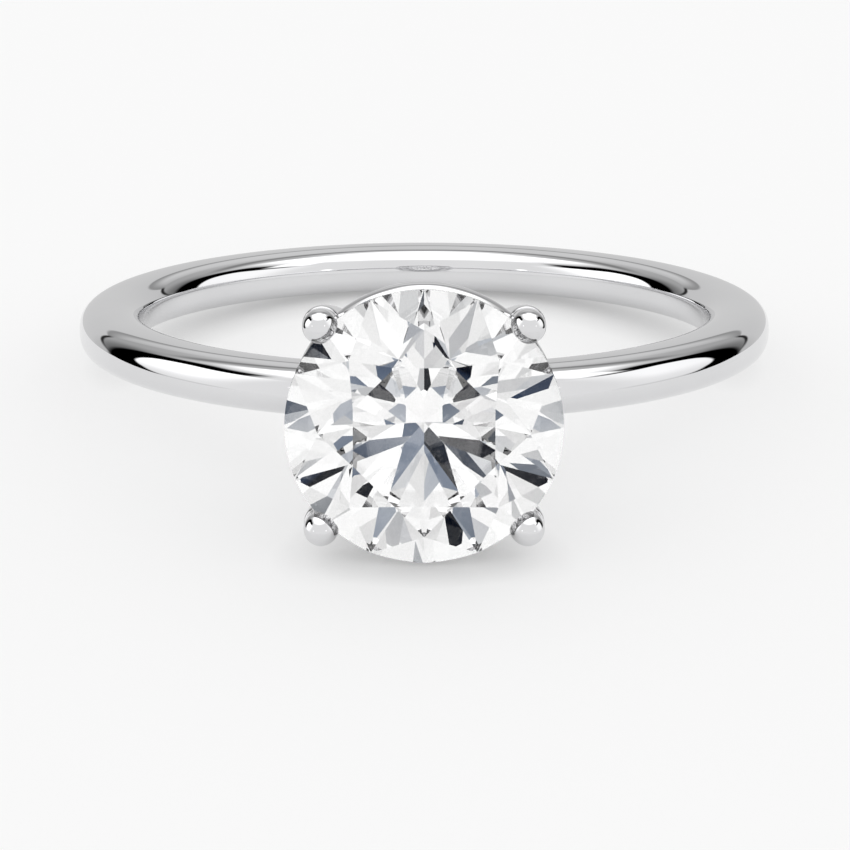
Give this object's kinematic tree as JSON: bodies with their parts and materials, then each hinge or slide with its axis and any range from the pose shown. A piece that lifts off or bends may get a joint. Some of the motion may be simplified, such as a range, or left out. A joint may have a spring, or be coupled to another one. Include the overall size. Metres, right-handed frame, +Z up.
{
  "type": "engagement ring",
  "caption": "Solitaire engagement ring: plain comfort-fit band, basket head with two gallery rails and ball-tipped prongs, round brilliant stone.",
  "frame": {"origin": "on the surface the ring lies on, under the middle of its bounding box", "axes": "+Z up; -Y the way the head points, before the ring's small resting tilt; +X to the right of someone facing the stone"},
  "size_m": [0.0202, 0.0248, 0.0073],
  "materials": {
    "band_metal": "polished",
    "head_metal": "polished",
    "diamond": "polished"
  },
  "bodies": {
    "root": {"band": "band_metal", "lower_gallery_rail": "head_metal", "upper_gallery_rail": "head_metal", "prong_upper_right": "head_metal", "prong_upper_left": "head_metal", "prong_lower_left": "head_metal", "prong_lower_right": "head_metal", "diamond": "diamond"}
  },
  "joints": []
}
